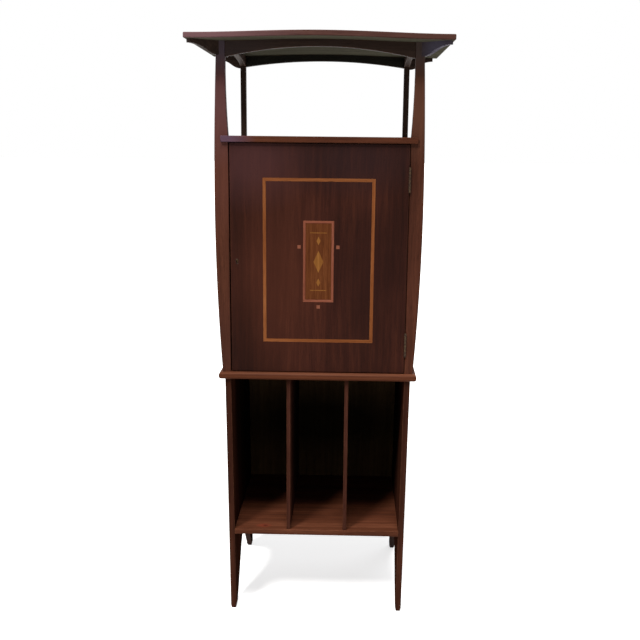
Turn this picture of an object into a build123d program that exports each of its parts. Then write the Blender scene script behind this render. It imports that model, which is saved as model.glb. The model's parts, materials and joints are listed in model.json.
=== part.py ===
from build123d import *
import os

os.makedirs("parts", exist_ok=True)

# A free-standing wooden music cabinet, in millimetres.
# X runs left to right, Y runs from the front to the back and Z runs up.
# The origin lies on the floor, below the middle of the top board.

# Heights of the stages, from the floor up
leg_clear = 229.0
bay_floor_thick = 15.5
bay_height = 438.0
waist_thick = 20.0
cupboard_height = 607.0
upper_shelf_thick = 16.0
stage_height = 231.0
top_thick = 13.5
top_rise = 7.5

# Widths and depths of the case
opening_width = 470.0
side_thick = 16.0
side_lean = 7.0
case_depth = 445.0
front_post_depth = 20.0
rear_post_depth = 20.0

# Swelling outer edge of the front posts, as widths at shares of their height
post_width_foot = 22.2
post_width_low = 31.9
post_width_middle = 37.0
post_width_high = 33.2
post_width_head = 26.6
post_share_low = 0.208
post_share_middle = 0.530
post_share_high = 0.791
post_neck_inset = 4.6
post_flare_inset = 2.4
post_flare_height = 40.0
post_round = 2.0

# Top board and the pieces below it
top_end_overhang = 81.5
top_front_overhang = 72.0
top_round = 2.5
top_corner_round = 3.5
top_trim = 4.0
trim_run = 10.0
rail_thick = 16.0
rail_setback = 2.0
front_rail_crown_drop = 18.0
front_rail_end_drop = 37.5
rear_rail_crown_drop = 19.0
rear_rail_end_drop = 30.5
side_rail_crown_drop = 11.2
side_rail_end_drop = 27.5
bracket_thick = 14.0
bracket_root_drop = 33.0
bracket_middle_drop = 19.0
bracket_tip_drop = 9.5
front_bracket_reach = 88.0
front_bracket_inset = 7.0
front_bracket_tail = 8.0
rear_bracket_reach = 67.0

# Shelves
waist_front_overhang = 12.0
waist_end_overhang = 16.0
waist_round = 8.5
lip_overhang = 8.0
lip_lap = 18.5
lip_round = 2.0
divider_thick = 10.4
divider_share = 0.336
divider_setback = 3.0
inner_shelf_thick = 10.0
inner_shelf_setback = 42.0
inner_shelf_gap = 0.5
bearer_height = 14.0
bearer_thick = 10.0
bearer_share_low = 0.333
bearer_share_high = 0.667

# Arch that cuts each lower side into a front and a rear leg
foot_depth = 24.0
foot_chamfer = 2.0
foot_chamfer_height = 9.0
arch_turn_share = 0.276
arch_turn_height = 109.0
arch_height = 160.0

# Back panels, held in rebates
back_thick = 6.0
rebate_width = 6.0
rebate_depth = 8.0
rebate_gap = 0.3

# Door and its gaps
door_thick = 18.0
door_gap_lock_side = 3.2
door_gap_hinge_side = 1.5
door_gap_top = 1.5
door_gap_bottom = 2.0
door_round = 0.8
stop_height = 12.0
stop_thick = 14.0
stop_gap = 0.3
stop_end_gap = 40.0

# Inlays let into the door's face
inlay_depth = 1.2
band_width = 8.6
band_margin_side = 88.5
band_margin_bottom = 84.1
band_margin_top = 89.1
plaque_width = 81.0
plaque_height = 215.0
plaque_centre_share = 0.496
plaque_border = 7.3
plaque_depth = 1.6
motif_depth = 0.8
lozenge_width = 26.0
lozenge_height = 58.0
small_lozenge_width = 11.0
small_lozenge_height = 22.0
small_lozenge_shift = 55.0
fillet_line_length = 44.0
fillet_line_width = 2.0
fillet_line_shift = 76.0
square_side = 9.0
side_square_shift = 51.0
side_square_rise = 39.0
low_square_drop = 120.5

# Butt hinges
hinge_length = 62.0
hinge_margin_bottom = 80.0
hinge_margin_top = 91.5
hinge_leaf_thick = 1.8
hinge_leaf_depth = 15.0
hinge_leaf_gap = 0.3
hinge_barrel_radius = 3.0
hinge_axis_forward = 3.4
hinge_pin_radius = 1.5
hinge_pin_clearance = 0.06
hinge_pin_head = 1.2
knuckle_count = 5
knuckle_gap = 0.3

# Wood screws
screw_head_angle = 45.0
hinge_screw_head = 2.9
hinge_screw_shank = 1.4
hinge_screw_length = 13.0
hinge_screw_spacing = 23.0
hinge_screw_back = 8.5
back_screw_head = 3.2
back_screw_head_height = 1.8
head_round_share = 0.8
back_screw_shank = 1.5
back_screw_length = 15.0
back_screw_inset = 3.0
back_screw_margin = 40.0
back_screws_per_side = 4
lock_screw_head = 2.6
lock_screw_shank = 1.2
lock_screw_length = 7.0
lock_screw_inset = 4.0

# Dowels that pin the cupboard to the lower sides
dowel_radius = 4.0
dowel_bite = 24.0
dowel_front_inset = 10.0

# Cupboard lock, let into the back of the door
key_height_share = 0.498
key_inset = 16.8
lock_case_width = 44.0
lock_case_below = 16.0
lock_case_above = 20.0
lock_case_thick = 9.0
lock_cap_thick = 2.0
lock_cap_overlap = 6.0
lock_fore_thick = 2.0
lock_fore_overlap = 5.0
bolt_height = 9.0
bolt_thick = 5.0
bolt_length = 32.0
bolt_rise = 12.0
bolt_clearance = 0.3
bolt_throw = 9.0
bolt_recess = 0.3
key_chamber_radius = 8.0
keyhole_radius = 2.7
keyhole_slot = 3.2
keyhole_drop = 8.5
escutcheon_wall = 1.4
escutcheon_depth = 3.0
strike_thick = 1.2
strike_margin = 4.0
strike_mortise_depth = 10.0

# Levels
bay_floor_top = leg_clear + bay_floor_thick
waist_under = bay_floor_top + bay_height
waist_top = waist_under + waist_thick
shelf_under = waist_top + cupboard_height
shelf_top = shelf_under + upper_shelf_thick
top_under = shelf_top + stage_height

# Plan lines
inner_half = opening_width / 2
outer_half = inner_half + side_thick
top_half = outer_half + top_end_overhang
foot_half = outer_half - side_lean
top_depth = top_front_overhang + case_depth
case_front = top_front_overhang - top_depth / 2
case_back = case_front + case_depth
panel_front = case_back - rebate_depth
panel_back = panel_front + back_thick


def facing(y):
    """Upright plane across the cabinet at depth y; extruding runs to the front."""
    return Plane.XZ.offset(-y)


def side_on(x):
    """Upright plane along the cabinet's depth; extruding runs to the right."""
    return Plane.YZ.offset(x)


def save(part, label):
    part.label = label
    export_step(part, f"parts/{label}.step")


def board(x_range, y_range, z_range):
    """Plain rectangular board between two corners."""
    with BuildPart() as piece:
        with BuildSketch(Plane.XY.offset(z_range[0])):
            with Locations((sum(x_range) / 2, sum(y_range) / 2)):
                Rectangle(x_range[1] - x_range[0], y_range[1] - y_range[0])
        extrude(amount=z_range[1] - z_range[0])
    return piece.part


def span(sign, near, far):
    """X range from the distance near to the distance far, on the side sign."""
    return (near, far) if sign > 0 else (-far, -near)


def side_outer(z):
    """Outer face of the leaning lower side, as a distance from the middle."""
    return foot_half + (outer_half - foot_half) * z / waist_under


def side_inner(z):
    return side_outer(z) - side_thick


def screw_rows(sign, low, high, half_low, half_high):
    """Screw places up one edge of a back panel whose half width may change."""
    run = (high - low - 2 * back_screw_margin) / (back_screws_per_side - 1)
    places = []
    for index in range(back_screws_per_side):
        z = low + back_screw_margin + index * run
        share = (z - low) / (high - low)
        half = half_low + (half_high - half_low) * share
        places.append((sign * (half - back_screw_inset), z))
    return places


# Places of the screws that hold the two back panels
panel_half = inner_half + rebate_width - rebate_gap
low_panel_half_foot = side_inner(leg_clear) + rebate_width - rebate_gap
low_panel_half_head = side_inner(waist_under) + rebate_width - rebate_gap
high_screws = {s: screw_rows(s, waist_top, shelf_under, panel_half, panel_half) for s in (-1, 1)}
low_screws = {
    s: screw_rows(s, leg_clear, waist_under, low_panel_half_foot, low_panel_half_head)
    for s in (-1, 1)
}


def back_shanks(places, mode):
    """Screw shanks from the back face of a back panel to the front."""
    with BuildSketch(facing(panel_back)) as shanks:
        with Locations(*places):
            Circle(back_screw_shank)
    extrude(shanks.sketch, amount=back_screw_length, mode=mode)


# Places of the dowels, by side: one in the front post and one in the rear post
dowel_x = inner_half + side_thick / 2
front_dowel_y = case_front + dowel_front_inset
rear_dowel_y = case_back - rear_post_depth + (rear_post_depth - rebate_depth) / 2
dowel_places = {s: [(s * dowel_x, front_dowel_y), (s * dowel_x, rear_dowel_y)] for s in (-1, 1)}


def dowel_shanks(places, mode):
    """Dowels through the waist shelf, with an equal bite above and below it."""
    with BuildSketch(Plane.XY.offset(waist_under - dowel_bite)) as shanks:
        with Locations(*places):
            Circle(dowel_radius)
    extrude(shanks.sketch, amount=waist_thick + 2 * dowel_bite, mode=mode)


# Hinge positions
door_left = -inner_half + door_gap_lock_side
door_right = inner_half - door_gap_hinge_side
door_bottom = waist_top + door_gap_bottom
door_top = shelf_under - door_gap_top
hinge_x = (door_right + inner_half) / 2
hinge_y = case_front - hinge_axis_forward
hinge_centres = {
    "lower": waist_top + hinge_margin_bottom,
    "upper": shelf_under - hinge_margin_top,
}


def leaf_x(sign):
    """X range of a hinge leaf: sign 1 on the post, -1 on the door."""
    near = hinge_leaf_gap / 2
    far = near + hinge_leaf_thick
    edges = sorted((hinge_x + sign * near, hinge_x + sign * far))
    return tuple(edges)


def leaf_screw_plane(sign):
    """Plane on the open face of a leaf; its normal runs into the wood."""
    x = hinge_x + sign * hinge_leaf_gap / 2
    return Plane(origin=(x, 0, 0), x_dir=(0, sign, 0), z_dir=(sign, 0, 0))


def leaf_screws(sign, centre, mode):
    """Three countersunk screws through one hinge leaf into the wood."""
    y = sign * (case_front + hinge_screw_back)
    places = [(y, centre + shift * hinge_screw_spacing) for shift in (-1, 0, 1)]
    with BuildSketch(leaf_screw_plane(sign)) as heads:
        with Locations(*places):
            Circle(hinge_screw_head)
    head_depth = hinge_screw_head - hinge_screw_shank
    extrude(heads.sketch, amount=head_depth, taper=screw_head_angle, mode=mode)
    with BuildSketch(leaf_screw_plane(sign)) as shanks:
        with Locations(*places):
            Circle(hinge_screw_shank)
    extrude(shanks.sketch, amount=hinge_screw_length, mode=mode)


def leaf_seat(sign, centre):
    """Cuts the shallow seat of one leaf out of the edge that carries it."""
    x_range = leaf_x(sign)
    with BuildSketch(Plane.XY.offset(centre - hinge_length / 2)) as seat:
        with Locations((sum(x_range) / 2, case_front + hinge_leaf_depth / 2)):
            Rectangle(hinge_leaf_thick, hinge_leaf_depth)
    extrude(seat.sketch, amount=hinge_length, mode=Mode.SUBTRACT)


# Lock positions
key_x = door_left + key_inset
key_z = waist_top + key_height_share * cupboard_height
bolt_z = key_z + bolt_rise
lock_back = case_front + door_thick - lock_cap_thick
lock_front = lock_back - lock_case_thick
bolt_y = (lock_front + lock_back) / 2
lock_low = key_z - lock_case_below
lock_high = key_z + lock_case_above
lock_right = door_left + lock_case_width
bolt_rest = door_left + bolt_recess
channel_right = bolt_rest + bolt_length + bolt_clearance
cap_low = lock_low - lock_cap_overlap
cap_high = lock_high + lock_cap_overlap
cap_right = lock_right + lock_cap_overlap
fore_low = lock_low - lock_fore_overlap
fore_high = lock_high + lock_fore_overlap


def keyhole(grow):
    """Keyhole outline in a sketch, made larger all round by grow."""
    with Locations((key_x, key_z)):
        Circle(keyhole_radius + grow)
    with Locations((key_x, key_z - (keyhole_drop + grow) / 2)):
        Rectangle(keyhole_slot + 2 * grow, keyhole_drop + grow)


def lock_screw_places():
    """Places of the lock screws, near the corners of the cap plate."""
    left = door_left + lock_fore_thick + lock_screw_inset
    right = cap_right - lock_screw_inset
    heights = (cap_low + lock_screw_inset, cap_high - lock_screw_inset)
    return [(x, z) for x in (left, right) for z in heights]


def lock_shanks(mode):
    """Lock screws from the cap plate's open face into the door."""
    with BuildSketch(facing(case_front + door_thick)) as heads:
        with Locations(*lock_screw_places()):
            Circle(lock_screw_head)
    head_depth = lock_screw_head - lock_screw_shank
    extrude(heads.sketch, amount=head_depth, taper=screw_head_angle, mode=mode)
    with BuildSketch(facing(case_front + door_thick)) as shanks:
        with Locations(*lock_screw_places()):
            Circle(lock_screw_shank)
    extrude(shanks.sketch, amount=lock_screw_length, mode=mode)


# Lower stage: two leaning sides, each cut into a front and a rear leg
def lower_side(sign):
    with BuildPart() as side:
        with BuildSketch(facing(case_back)):
            with BuildLine():
                Polyline(
                    (sign * (side_outer(0) - foot_chamfer), 0),
                    (sign * side_outer(foot_chamfer_height), foot_chamfer_height),
                    (sign * side_outer(waist_under), waist_under),
                    (sign * side_inner(waist_under), waist_under),
                    (sign * side_inner(foot_chamfer_height), foot_chamfer_height),
                    (sign * (side_inner(0) + foot_chamfer), 0),
                    close=True,
                )
            make_face()
        extrude(amount=case_depth)
        front_foot = (case_front + foot_depth, 0)
        back_foot = (case_back - foot_depth, 0)
        front_turn = (case_front + arch_turn_share * case_depth, arch_turn_height)
        back_turn = (case_back - arch_turn_share * case_depth, arch_turn_height)
        apex = ((case_front + case_back) / 2, arch_height)
        rise = (front_turn[0] - front_foot[0], arch_turn_height)
        with BuildSketch(side_on(-top_half)):
            with BuildLine():
                Line(front_foot, front_turn)
                Spline(front_turn, apex, tangents=(rise, (1, 0)))
                Spline(apex, back_turn, tangents=((1, 0), (rise[0], -rise[1])))
                Polyline(back_turn, back_foot, front_foot)
            make_face()
        extrude(amount=2 * top_half, mode=Mode.SUBTRACT)
        rebate_low = side_inner(leg_clear)
        rebate_high = side_inner(waist_under)
        with BuildSketch(facing(case_back)):
            with BuildLine():
                Polyline(
                    (sign * (rebate_low - side_thick), leg_clear),
                    (sign * (rebate_low + rebate_width), leg_clear),
                    (sign * (rebate_high + rebate_width), waist_under),
                    (sign * (rebate_high - side_thick), waist_under),
                    close=True,
                )
            make_face()
        extrude(amount=rebate_depth, mode=Mode.SUBTRACT)
        dowel_shanks(dowel_places[sign], Mode.SUBTRACT)
        back_shanks(low_screws[sign], Mode.SUBTRACT)
    return side.part


left_lower_side = lower_side(-1)
right_lower_side = lower_side(1)
save(left_lower_side, "left_lower_side")
save(right_lower_side, "right_lower_side")

with BuildPart() as bottom_shelf:
    with BuildSketch(facing(panel_front)):
        with BuildLine():
            Polyline(
                (-side_inner(leg_clear), leg_clear),
                (side_inner(leg_clear), leg_clear),
                (side_inner(bay_floor_top), bay_floor_top),
                (-side_inner(bay_floor_top), bay_floor_top),
                close=True,
            )
        make_face()
    extrude(amount=panel_front - case_front)
save(bottom_shelf.part, "bottom_shelf")

for name, sign in (("left_divider", -1), ("right_divider", 1)):
    near = divider_share * inner_half - divider_thick / 2
    divider = board(
        span(sign, near, near + divider_thick),
        (case_front + divider_setback, panel_front),
        (bay_floor_top, waist_under),
    )
    save(divider, name)

with BuildPart() as lower_back:
    with BuildSketch(facing(panel_back)):
        with BuildLine():
            Polyline(
                (-low_panel_half_foot, leg_clear),
                (low_panel_half_foot, leg_clear),
                (low_panel_half_head, waist_under),
                (-low_panel_half_head, waist_under),
                close=True,
            )
        make_face()
    extrude(amount=back_thick)
    for sign in (-1, 1):
        back_shanks(low_screws[sign], Mode.SUBTRACT)
save(lower_back.part, "lower_back")

# Waist shelf with rounded front and ends
with BuildPart() as waist_shelf:
    waist_half = outer_half + waist_end_overhang
    waist_front = case_front - waist_front_overhang
    with BuildSketch(Plane.XY.offset(waist_under)):
        with Locations((0, (waist_front + case_back) / 2)):
            Rectangle(2 * waist_half, case_back - waist_front)
    extrude(amount=waist_thick)
    rims = waist_shelf.faces().filter_by(Axis.Z).edges()
    back_rims = rims.filter_by(Axis.X).sort_by(Axis.Y)[-2:]
    fillet([edge for edge in rims if edge not in back_rims], radius=waist_round)
    for sign in (-1, 1):
        dowel_shanks(dowel_places[sign], Mode.SUBTRACT)
save(waist_shelf.part, "waist_shelf")

with BuildPart() as post_dowels:
    for sign in (-1, 1):
        dowel_shanks(dowel_places[sign], Mode.ADD)
save(post_dowels.part, "post_dowels")


def strike_block(mode):
    """Strike plate's outline, let into the inner edge of the left front post."""
    half = bolt_height / 2 + strike_margin
    with BuildSketch(Plane.XY.offset(bolt_z - half)) as block:
        with Locations((-inner_half - strike_thick / 2, bolt_y)):
            Rectangle(strike_thick, bolt_thick + 2 * strike_margin)
    extrude(block.sketch, amount=2 * half, mode=mode)


def bolt_mortise():
    """Cuts the hole that the bolt enters, with its clearance all round."""
    half = bolt_height / 2 + bolt_clearance
    with BuildSketch(Plane.XY.offset(bolt_z - half)) as mortise:
        with Locations((-inner_half - strike_mortise_depth / 2, bolt_y)):
            Rectangle(strike_mortise_depth, bolt_thick + 2 * bolt_clearance)
    extrude(mortise.sketch, amount=2 * half, mode=Mode.SUBTRACT)


# Top board: one low arch from end to end. It trims the pieces that carry it, which start taller
trim_level = top_under + top_trim


def crown(lift):
    """Arched line of the top board, from its left end to its right end."""
    third = top_half / 3
    return Spline(
        (-top_half, top_under + lift),
        (-2 * third, top_under + top_rise / 4 + lift),
        (-third, top_under + 3 * top_rise / 4 + lift),
        (0, top_under + top_rise + lift),
        (third, top_under + 3 * top_rise / 4 + lift),
        (2 * third, top_under + top_rise / 4 + lift),
        (top_half, top_under + lift),
        tangents=((1, 0), (1, 0)),
    )


with BuildPart() as top_board:
    with BuildSketch(facing(case_back)):
        with BuildLine():
            crown(0)
            Line((top_half, top_under), (top_half, top_under + top_thick))
            crown(top_thick)
            Line((-top_half, top_under + top_thick), (-top_half, top_under))
        make_face()
    extrude(amount=top_depth)
    corners = top_board.edges().filter_by(Axis.Z)
    fillet(corners, radius=top_corner_round)
    front_rim = top_board.faces().sort_by(Axis.Y)[0].edges()
    fillet(front_rim.filter_by(Axis.Z, reverse=True), radius=top_round)
save(top_board.part, "top_board")


# Shape that trims those pieces: the board's underside, run on past its front and back
with BuildPart() as top_room:
    with BuildSketch(facing(case_back + trim_run)):
        with BuildLine():
            crown(0)
            Polyline(
                (top_half, top_under),
                (top_half, top_under + top_thick + top_rise),
                (-top_half, top_under + top_thick + top_rise),
                (-top_half, top_under),
            )
        make_face()
    extrude(amount=top_depth + 2 * trim_run)


# Upper stage: shaped front posts, plain rear posts and flat side panels
def front_post(sign):
    post_height = trim_level - waist_top
    swell = [
        (sign * (inner_half + post_width_foot), waist_top),
        (sign * (inner_half + post_width_low), waist_top + post_share_low * post_height),
        (sign * (inner_half + post_width_middle), waist_top + post_share_middle * post_height),
        (sign * (inner_half + post_width_high), waist_top + post_share_high * post_height),
        (sign * (inner_half + post_width_head), trim_level),
    ]
    neck = [
        (sign * inner_half, shelf_top),
        (sign * (inner_half + post_flare_inset), shelf_top + post_flare_height),
        (sign * (inner_half + post_neck_inset), trim_level),
    ]
    with BuildPart() as post:
        with BuildSketch(facing(case_front + front_post_depth)):
            with BuildLine():
                Spline(*swell)
                Line(swell[-1], neck[-1])
                Spline(*neck)
                Polyline(neck[0], (sign * inner_half, waist_top), swell[0])
            make_face()
        extrude(amount=front_post_depth)
        front_rim = post.faces().sort_by(Axis.Y)[0].edges()
        fillet(front_rim.filter_by(Axis.X, reverse=True), radius=post_round)
        add(top_room.part, mode=Mode.SUBTRACT)
        dowel_shanks([dowel_places[sign][0]], Mode.SUBTRACT)
        if sign > 0:
            for centre in hinge_centres.values():
                leaf_seat(1, centre)
                leaf_screws(1, centre, Mode.SUBTRACT)
        else:
            strike_block(Mode.SUBTRACT)
            bolt_mortise()
    return post.part


left_front_post = front_post(-1)
right_front_post = front_post(1)
save(left_front_post, "left_front_post")
save(right_front_post, "right_front_post")

with BuildPart() as strike_plate:
    strike_block(Mode.ADD)
    bolt_mortise()
save(strike_plate.part, "strike_plate")

rear_posts = []
for name, sign in (("left_rear_post", -1), ("right_rear_post", 1)):
    with BuildPart() as rear_post:
        with BuildSketch(Plane.XY.offset(waist_top)):
            with Locations((sign * dowel_x, case_back - rear_post_depth / 2)):
                Rectangle(side_thick, rear_post_depth)
        extrude(amount=trim_level - waist_top)
        add(top_room.part, mode=Mode.SUBTRACT)
        with BuildSketch(Plane.XY.offset(waist_top)):
            with Locations((sign * inner_half, case_back)):
                Rectangle(2 * rebate_width, 2 * rebate_depth)
        extrude(amount=cupboard_height, mode=Mode.SUBTRACT)
        dowel_shanks([dowel_places[sign][1]], Mode.SUBTRACT)
        back_shanks(high_screws[sign], Mode.SUBTRACT)
    rear_posts.append(rear_post.part)
    save(rear_post.part, name)

for name, sign in (("left_side_panel", -1), ("right_side_panel", 1)):
    side_panel = board(
        span(sign, inner_half, outer_half),
        (case_front + front_post_depth, case_back - rear_post_depth),
        (waist_top, shelf_under),
    )
    save(side_panel, name)

with BuildPart() as cupboard_back:
    with BuildSketch(facing(panel_back)):
        with Locations((0, (waist_top + shelf_under) / 2)):
            Rectangle(2 * panel_half, cupboard_height)
    extrude(amount=back_thick)
    for sign in (-1, 1):
        back_shanks(high_screws[sign], Mode.SUBTRACT)
save(cupboard_back.part, "cupboard_back")

with BuildPart() as back_screws:
    for sign in (-1, 1):
        for places in (high_screws[sign], low_screws[sign]):
            back_shanks(places, Mode.ADD)
            with BuildSketch(facing(panel_back)):
                with Locations(*places):
                    Circle(back_screw_head)
            extrude(amount=-back_screw_head_height)
    head_rims = back_screws.edges().filter_by(GeomType.CIRCLE).group_by(Axis.Y)[-1]
    fillet(head_rims, radius=back_screw_head_height * head_round_share)
save(back_screws.part, "back_screws")

# Upper shelf, notched round the four posts, with a lip across the front
with BuildPart() as upper_shelf:
    with BuildSketch(Plane.XY.offset(shelf_under)):
        lip_front = case_front - lip_overhang
        with Locations((0, (lip_front + case_front) / 2)):
            Rectangle(2 * (inner_half + lip_lap), lip_overhang)
        with Locations((0, (case_front + case_back) / 2)):
            Rectangle(2 * inner_half, case_depth)
        body_front = case_front + front_post_depth
        body_back = case_back - rear_post_depth
        with Locations((0, (body_front + body_back) / 2)):
            Rectangle(2 * outer_half, body_back - body_front)
    extrude(amount=upper_shelf_thick)
    lip_rim = upper_shelf.faces().sort_by(Axis.Y)[0].edges()
    fillet(lip_rim, radius=lip_round)
save(upper_shelf.part, "upper_shelf")

with BuildPart() as door_stop:
    stop_front = case_front + door_thick + stop_gap
    stop_half = inner_half - stop_end_gap
    with BuildSketch(Plane.XY.offset(shelf_under - stop_height)):
        with Locations((0, stop_front + stop_thick / 2)):
            Rectangle(2 * stop_half, stop_thick)
    extrude(amount=stop_height)
save(door_stop.part, "door_stop")

# Two loose shelves inside the cupboard, on bearers
inner_front = case_front + inner_shelf_setback
for level, share in (("lower", bearer_share_low), ("upper", bearer_share_high)):
    rest = waist_top + share * cupboard_height
    for side, sign in (("left", -1), ("right", 1)):
        bearer = board(
            span(sign, inner_half - bearer_thick, inner_half),
            (inner_front, panel_front),
            (rest - bearer_height, rest),
        )
        save(bearer, f"{level}_{side}_bearer")
    inner_shelf = board(
        (-inner_half + inner_shelf_gap, inner_half - inner_shelf_gap),
        (inner_front, panel_front - inner_shelf_gap),
        (rest, rest + inner_shelf_thick),
    )
    save(inner_shelf, f"{level}_inner_shelf")


def cross_rail(y_back, crown_drop, end_drop, posts):
    """Rail below the top board, arched on both edges and fitted to the posts."""
    reach = inner_half + post_neck_inset
    level = trim_level + top_rise
    with BuildPart() as rail:
        with BuildSketch(facing(y_back)):
            with BuildLine():
                Polyline(
                    (-reach, top_under - end_drop),
                    (-reach, trim_level),
                    (0, level),
                    (reach, trim_level),
                    (reach, top_under - end_drop),
                )
                ThreePointArc(
                    (reach, top_under - end_drop),
                    (0, top_under - crown_drop + top_rise),
                    (-reach, top_under - end_drop),
                )
            make_face()
        extrude(amount=rail_thick)
        add(top_room.part, mode=Mode.SUBTRACT)
        for post in posts:
            add(post, mode=Mode.SUBTRACT)
    return rail.part


front_posts = (left_front_post, right_front_post)
front_rail_back = case_front + rail_setback + rail_thick
front_top_rail = cross_rail(front_rail_back, front_rail_crown_drop, front_rail_end_drop, front_posts)
save(front_top_rail, "front_top_rail")

rear_rail_back = case_back - rail_setback
rear_top_rail = cross_rail(rear_rail_back, rear_rail_crown_drop, rear_rail_end_drop, rear_posts)
save(rear_top_rail, "rear_top_rail")

for name, sign in (("left_top_rail", -1), ("right_top_rail", 1)):
    rail_x = span(sign, inner_half, outer_half)
    rail_front = case_front + front_post_depth
    rail_back = case_back - rear_post_depth
    with BuildPart() as side_rail:
        with BuildSketch(side_on(rail_x[0])):
            with BuildLine():
                Polyline(
                    (rail_front, top_under - side_rail_end_drop),
                    (rail_front, trim_level),
                    (rail_back, trim_level),
                    (rail_back, top_under - side_rail_end_drop),
                )
                ThreePointArc(
                    (rail_back, top_under - side_rail_end_drop),
                    ((rail_front + rail_back) / 2, top_under - side_rail_crown_drop),
                    (rail_front, top_under - side_rail_end_drop),
                )
            make_face()
        extrude(amount=side_thick)
        add(top_room.part, mode=Mode.SUBTRACT)
    save(side_rail.part, name)


def bracket_profile(plane, reach, tail):
    """Bracket profile: flat on top, an S curve below, a plain tail behind."""
    with BuildSketch(plane) as profile:
        with BuildLine():
            Line((-tail, top_trim), (reach, top_trim))
            Line((reach, top_trim), (reach, -bracket_tip_drop))
            Spline(
                (reach, -bracket_tip_drop),
                (reach / 2, -bracket_middle_drop),
                (0, -bracket_root_drop),
                tangents=((-1, 0), (-1, 0)),
            )
            if tail > 0:
                Line((0, -bracket_root_drop), (-tail, -bracket_root_drop))
            Line((-tail, -bracket_root_drop), (-tail, top_trim))
        make_face()
    return profile.sketch


# Front brackets run out and forward at 45 degrees to the corners of the top
for name, sign, post in (
    ("left_front_bracket", -1, left_front_post),
    ("right_front_bracket", 1, right_front_post),
):
    root_x = inner_half + post_width_head - front_bracket_inset
    outward = Plane(
        origin=(sign * root_x, case_front, top_under),
        x_dir=(sign, -1, 0),
        z_dir=(-1, -sign, 0),
    )
    with BuildPart() as front_bracket:
        profile = bracket_profile(outward, front_bracket_reach, front_bracket_tail)
        extrude(profile, amount=-sign * bracket_thick)
        add(top_room.part, mode=Mode.SUBTRACT)
        add(post, mode=Mode.SUBTRACT)
    save(front_bracket.part, name)

for name, sign in (("left_rear_bracket", -1), ("right_rear_bracket", 1)):
    outward = Plane(
        origin=(sign * outer_half, case_back - rail_setback, top_under),
        x_dir=(sign, 0, 0),
        z_dir=(0, -sign, 0),
    )
    with BuildPart() as rear_bracket:
        profile = bracket_profile(outward, rear_bracket_reach, 0)
        extrude(profile, amount=sign * bracket_thick)
        add(top_room.part, mode=Mode.SUBTRACT)
    save(rear_bracket.part, name)

# Door: one panel with seats for the inlays, the hinges and the lock
band_low = waist_top + band_margin_bottom
band_high = shelf_under - band_margin_top
band_middle = (band_low + band_high) / 2
plaque_z = waist_top + plaque_centre_share * cupboard_height
band_half_width = inner_half - band_margin_side
field_width = plaque_width - 2 * plaque_border
field_height = plaque_height - 2 * plaque_border
square_places = [
    (-side_square_shift, plaque_z + side_square_rise),
    (side_square_shift, plaque_z + side_square_rise),
    (0, plaque_z - low_square_drop),
]


def sunk(depth):
    """Plane below the door's face, from which an inlay rises to the face."""
    return facing(case_front + depth)


with BuildSketch(sunk(inlay_depth)) as band_shape:
    with Locations((0, band_middle)):
        Rectangle(2 * band_half_width, band_high - band_low)
        Rectangle(
            2 * (band_half_width - band_width),
            band_high - band_low - 2 * band_width,
            mode=Mode.SUBTRACT,
        )

with BuildSketch(sunk(inlay_depth)) as square_shapes:
    with Locations(*square_places):
        Rectangle(square_side, square_side)

with BuildSketch(sunk(motif_depth)) as lozenge_shapes:
    for shift, width, height in (
        (0, lozenge_width, lozenge_height),
        (small_lozenge_shift, small_lozenge_width, small_lozenge_height),
        (-small_lozenge_shift, small_lozenge_width, small_lozenge_height),
    ):
        middle = plaque_z + shift
        with BuildLine():
            Polyline(
                (-width / 2, middle),
                (0, middle + height / 2),
                (width / 2, middle),
                (0, middle - height / 2),
                close=True,
            )
        make_face()

with BuildSketch(sunk(motif_depth)) as line_shapes:
    with Locations((0, plaque_z + fillet_line_shift), (0, plaque_z - fillet_line_shift)):
        Rectangle(fillet_line_length, fillet_line_width)

with BuildPart() as door_panel:
    with BuildSketch(facing(case_front + door_thick)):
        with Locations(((door_left + door_right) / 2, (door_bottom + door_top) / 2)):
            Rectangle(door_right - door_left, door_top - door_bottom)
    extrude(amount=door_thick)
    chamfer(door_panel.faces().sort_by(Axis.Y)[0].edges(), length=door_round)
    extrude(band_shape.sketch, amount=inlay_depth, mode=Mode.SUBTRACT)
    extrude(square_shapes.sketch, amount=inlay_depth, mode=Mode.SUBTRACT)
    with BuildSketch(sunk(plaque_depth)):
        with Locations((0, plaque_z)):
            Rectangle(plaque_width, plaque_height)
    extrude(amount=plaque_depth, mode=Mode.SUBTRACT)
    for centre in hinge_centres.values():
        leaf_seat(-1, centre)
        leaf_screws(-1, centre, Mode.SUBTRACT)
    with BuildSketch(facing(lock_back)):
        with Locations(((door_left + lock_right) / 2, (lock_low + lock_high) / 2)):
            Rectangle(lock_case_width, lock_high - lock_low)
    extrude(amount=lock_case_thick, mode=Mode.SUBTRACT)
    with BuildSketch(facing(case_front + door_thick)):
        with Locations(((door_left + cap_right) / 2, (cap_low + cap_high) / 2)):
            Rectangle(cap_right - door_left, cap_high - cap_low)
    extrude(amount=lock_cap_thick, mode=Mode.SUBTRACT)
    with BuildSketch(facing(lock_back)):
        with Locations((door_left + lock_fore_thick / 2, (fore_low + fore_high) / 2)):
            Rectangle(lock_fore_thick, fore_high - fore_low)
    extrude(amount=lock_case_thick, mode=Mode.SUBTRACT)
    with BuildSketch(facing(lock_front)):
        keyhole(0)
    extrude(amount=lock_front - case_front, mode=Mode.SUBTRACT)
    with BuildSketch(facing(case_front + escutcheon_depth)):
        keyhole(escutcheon_wall)
    extrude(amount=escutcheon_depth, mode=Mode.SUBTRACT)
    lock_shanks(Mode.SUBTRACT)
save(door_panel.part, "door_panel")

with BuildPart() as inlay_band:
    extrude(band_shape.sketch, amount=inlay_depth)
save(inlay_band.part, "inlay_band")

with BuildPart() as accent_squares:
    extrude(square_shapes.sketch, amount=inlay_depth)
save(accent_squares.part, "accent_squares")

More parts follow.
